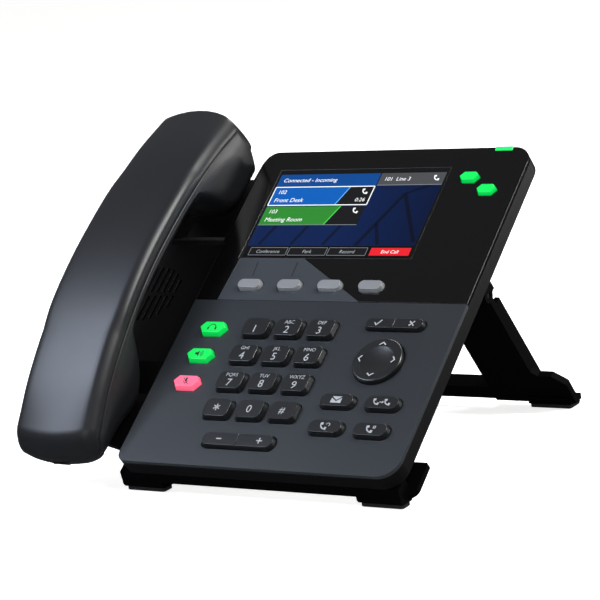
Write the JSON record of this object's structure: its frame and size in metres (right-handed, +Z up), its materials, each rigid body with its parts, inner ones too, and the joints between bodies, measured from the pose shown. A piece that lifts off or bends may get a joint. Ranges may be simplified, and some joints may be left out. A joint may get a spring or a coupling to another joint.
{
  "type": "desk ip phone",
  "caption": "Desk telephone with a sloping keypad and colour display, a handset lying in a cradle on the left, and a stand with hinged rear legs.",
  "frame": {"origin": "on the desk, under the middle of the whole telephone's footprint", "axes": "+X to the user's right, +Y away from the user, +Z up; the face slopes up towards +Y at 35.5 degrees"},
  "size_m": [0.213, 0.18, 0.1546],
  "materials": {
    "black_housing": "fine moulded grain",
    "grey_plate": "fine satin grain",
    "gloss_black": "polished",
    "grey_accent": "satin",
    "clear_window": "polished window over the display",
    "display_frame": "pressed frame",
    "lamp_green": "clear light pipe",
    "membrane_rubber": "silicone",
    "board_green": "solder mask",
    "key_black": "satin cap",
    "key_green": "translucent cap",
    "key_red": "translucent cap",
    "key_silver": "silver painted cap",
    "black_rubber": "ribbed pad",
    "steel": "zinc plated",
    "jack_plastic": "moulded socket",
    "speaker_metal": "pressed basket",
    "switch_plastic": "moulded",
    "handset_black": "satin"
  },
  "bodies": {
    "telephone": {"main_housing": "black_housing", "keypad_plate": "grey_plate", "display_bezel": "gloss_black", "accent_panel": "grey_accent", "screen_lens": "clear_window", "lcd_module": "display_frame", "message_lamp": "lamp_green", "key_membrane": "membrane_rubber", "main_board": "board_green", "rear_housing": "black_housing", "cover_screws": "steel", "loudspeaker": "speaker_metal", "hook_switch": "switch_plastic", "network_jacks": "jack_plastic", "cord_jacks": "jack_plastic", "power_jack": "jack_plastic", "front_foot_bar": "black_housing", "front_foot_pads": "black_rubber", "stand_screws": "steel", "leg_pins": "steel"},
    "legs": {"leg_frame": "black_housing", "rear_foot_pads": "black_rubber"},
    "handset": {"handset_back": "handset_black", "handset_face": "handset_black", "handset_receiver": "speaker_metal", "handset_microphone": "switch_plastic", "handset_ballast": "steel", "handset_socket": "jack_plastic"},
    "hook_plunger": {"hook_plunger": "black_housing"},
    "key_star": {"key_star": "key_black"},
    "key_0": {"key_0": "key_black"},
    "key_hash": {"key_hash": "key_black"},
    "key_7": {"key_7": "key_black"},
    "key_8": {"key_8": "key_black"},
    "key_9": {"key_9": "key_black"},
    "key_4": {"key_4": "key_black"},
    "key_5": {"key_5": "key_black"},
    "key_6": {"key_6": "key_black"},
    "key_1": {"key_1": "key_black"},
    "key_2": {"key_2": "key_black"},
    "key_3": {"key_3": "key_black"},
    "key_voicemail": {"key_voicemail": "key_black"},
    "key_transfer": {"key_transfer": "key_black"},
    "key_redial": {"key_redial": "key_black"},
    "key_hold": {"key_hold": "key_black"},
    "key_headset": {"key_headset": "key_green"},
    "key_speaker": {"key_speaker": "key_green"},
    "key_mute": {"key_mute": "key_red"},
    "soft_key_1": {"soft_key_1": "key_silver"},
    "soft_key_2": {"soft_key_2": "key_silver"},
    "soft_key_3": {"soft_key_3": "key_silver"},
    "soft_key_4": {"soft_key_4": "key_silver"},
    "line_key_1": {"line_key_1": "key_green"},
    "line_key_2": {"line_key_2": "key_green"},
    "select_rocker": {"select_rocker": "key_black"},
    "volume_rocker": {"volume_rocker": "key_black"},
    "navigation_plate": {"navigation_plate": "switch_plastic"},
    "navigation_pad": {"navigation_pad": "key_black"}
  },
  "joints": [
    {"name": "handset_lift", "type": "slide", "parent": "telephone", "child": "handset", "axis": [0, -0.5807, 0.8141], "range_m": [0, 0.06]},
    {"name": "hook_plunger_rise", "type": "slide", "parent": "telephone", "child": "hook_plunger", "axis": [0, -0.5807, 0.8141], "range_m": [0, 0.003]},
    {"name": "leg_fold", "type": "hinge", "parent": "telephone", "child": "legs", "pos_m": [0.024, 0.03684, 0.06725], "axis": [1, 0, 0], "range_deg": [-88, 0]},
    {"name": "key_star_press", "type": "slide", "parent": "telephone", "child": "key_star", "axis": [0, 0.5807, -0.8141], "range_m": [0, 0.0012], "stiffness_N_per_m": 300},
    {"name": "key_0_press", "type": "slide", "parent": "telephone", "child": "key_0", "axis": [0, 0.5807, -0.8141], "range_m": [0, 0.0012], "stiffness_N_per_m": 300},
    {"name": "key_hash_press", "type": "slide", "parent": "telephone", "child": "key_hash", "axis": [0, 0.5807, -0.8141], "range_m": [0, 0.0012], "stiffness_N_per_m": 300},
    {"name": "key_7_press", "type": "slide", "parent": "telephone", "child": "key_7", "axis": [0, 0.5807, -0.8141], "range_m": [0, 0.0012], "stiffness_N_per_m": 300},
    {"name": "key_8_press", "type": "slide", "parent": "telephone", "child": "key_8", "axis": [0, 0.5807, -0.8141], "range_m": [0, 0.0012], "stiffness_N_per_m": 300},
    {"name": "key_9_press", "type": "slide", "parent": "telephone", "child": "key_9", "axis": [0, 0.5807, -0.8141], "range_m": [0, 0.0012], "stiffness_N_per_m": 300},
    {"name": "key_4_press", "type": "slide", "parent": "telephone", "child": "key_4", "axis": [0, 0.5807, -0.8141], "range_m": [0, 0.0012], "stiffness_N_per_m": 300},
    {"name": "key_5_press", "type": "slide", "parent": "telephone", "child": "key_5", "axis": [0, 0.5807, -0.8141], "range_m": [0, 0.0012], "stiffness_N_per_m": 300},
    {"name": "key_6_press", "type": "slide", "parent": "telephone", "child": "key_6", "axis": [0, 0.5807, -0.8141], "range_m": [0, 0.0012], "stiffness_N_per_m": 300},
    {"name": "key_1_press", "type": "slide", "parent": "telephone", "child": "key_1", "axis": [0, 0.5807, -0.8141], "range_m": [0, 0.0012], "stiffness_N_per_m": 300},
    {"name": "key_2_press", "type": "slide", "parent": "telephone", "child": "key_2", "axis": [0, 0.5807, -0.8141], "range_m": [0, 0.0012], "stiffness_N_per_m": 300},
    {"name": "key_3_press", "type": "slide", "parent": "telephone", "child": "key_3", "axis": [0, 0.5807, -0.8141], "range_m": [0, 0.0012], "stiffness_N_per_m": 300},
    {"name": "key_voicemail_press", "type": "slide", "parent": "telephone", "child": "key_voicemail", "axis": [0, 0.5807, -0.8141], "range_m": [0, 0.0012], "stiffness_N_per_m": 300},
    {"name": "key_transfer_press", "type": "slide", "parent": "telephone", "child": "key_transfer", "axis": [0, 0.5807, -0.8141], "range_m": [0, 0.0012], "stiffness_N_per_m": 300},
    {"name": "key_redial_press", "type": "slide", "parent": "telephone", "child": "key_redial", "axis": [0, 0.5807, -0.8141], "range_m": [0, 0.0012], "stiffness_N_per_m": 300},
    {"name": "key_hold_press", "type": "slide", "parent": "telephone", "child": "key_hold", "axis": [0, 0.5807, -0.8141], "range_m": [0, 0.0012], "stiffness_N_per_m": 300},
    {"name": "key_headset_press", "type": "slide", "parent": "telephone", "child": "key_headset", "axis": [0, 0.5807, -0.8141], "range_m": [0, 0.0012], "stiffness_N_per_m": 300},
    {"name": "key_speaker_press", "type": "slide", "parent": "telephone", "child": "key_speaker", "axis": [0, 0.5807, -0.8141], "range_m": [0, 0.0012], "stiffness_N_per_m": 300},
    {"name": "key_mute_press", "type": "slide", "parent": "telephone", "child": "key_mute", "axis": [0, 0.5807, -0.8141], "range_m": [0, 0.0012], "stiffness_N_per_m": 300},
    {"name": "soft_key_1_press", "type": "slide", "parent": "telephone", "child": "soft_key_1", "axis": [0, 0.5807, -0.8141], "range_m": [0, 0.0012], "stiffness_N_per_m": 300},
    {"name": "soft_key_2_press", "type": "slide", "parent": "telephone", "child": "soft_key_2", "axis": [0, 0.5807, -0.8141], "range_m": [0, 0.0012], "stiffness_N_per_m": 300},
    {"name": "soft_key_3_press", "type": "slide", "parent": "telephone", "child": "soft_key_3", "axis": [0, 0.5807, -0.8141], "range_m": [0, 0.0012], "stiffness_N_per_m": 300},
    {"name": "soft_key_4_press", "type": "slide", "parent": "telephone", "child": "soft_key_4", "axis": [0, 0.5807, -0.8141], "range_m": [0, 0.0012], "stiffness_N_per_m": 300},
    {"name": "line_key_1_press", "type": "slide", "parent": "telephone", "child": "line_key_1", "axis": [0, 0.5807, -0.8141], "range_m": [0, 0.0012], "stiffness_N_per_m": 300},
    {"name": "line_key_2_press", "type": "slide", "parent": "telephone", "child": "line_key_2", "axis": [0, 0.5807, -0.8141], "range_m": [0, 0.0012], "stiffness_N_per_m": 300},
    {"name": "select_rocker_tip", "type": "hinge", "parent": "telephone", "child": "select_rocker", "pos_m": [0.0695, -0.01179, 0.06327], "axis": [0, 0.8141, 0.5807], "range_deg": [-3, 3], "stiffness_Nm_per_rad": 0.12},
    {"name": "volume_rocker_tip", "type": "hinge", "parent": "telephone", "child": "volume_rocker", "pos_m": [0.0142, -0.06829, 0.02297], "axis": [0, 0.8141, 0.5807], "range_deg": [-2.4, 2.4], "stiffness_Nm_per_rad": 0.12},
    {"name": "navigation_up_down", "type": "hinge", "parent": "telephone", "child": "navigation_plate", "pos_m": [0.069, -0.02919, 0.05098], "axis": [1, 0, 0], "range_deg": [-3, 3], "stiffness_Nm_per_rad": 0.12},
    {"name": "navigation_left_right", "type": "hinge", "parent": "navigation_plate", "child": "navigation_pad", "pos_m": [0.069, -0.02919, 0.05098], "axis": [0, 0.8141, 0.5807], "range_deg": [-3, 3], "stiffness_Nm_per_rad": 0.12}
  ],
  "couplings": [
    {"joint": "hook_plunger_rise", "follows": "handset_lift", "ratio": 0.05}
  ]
}
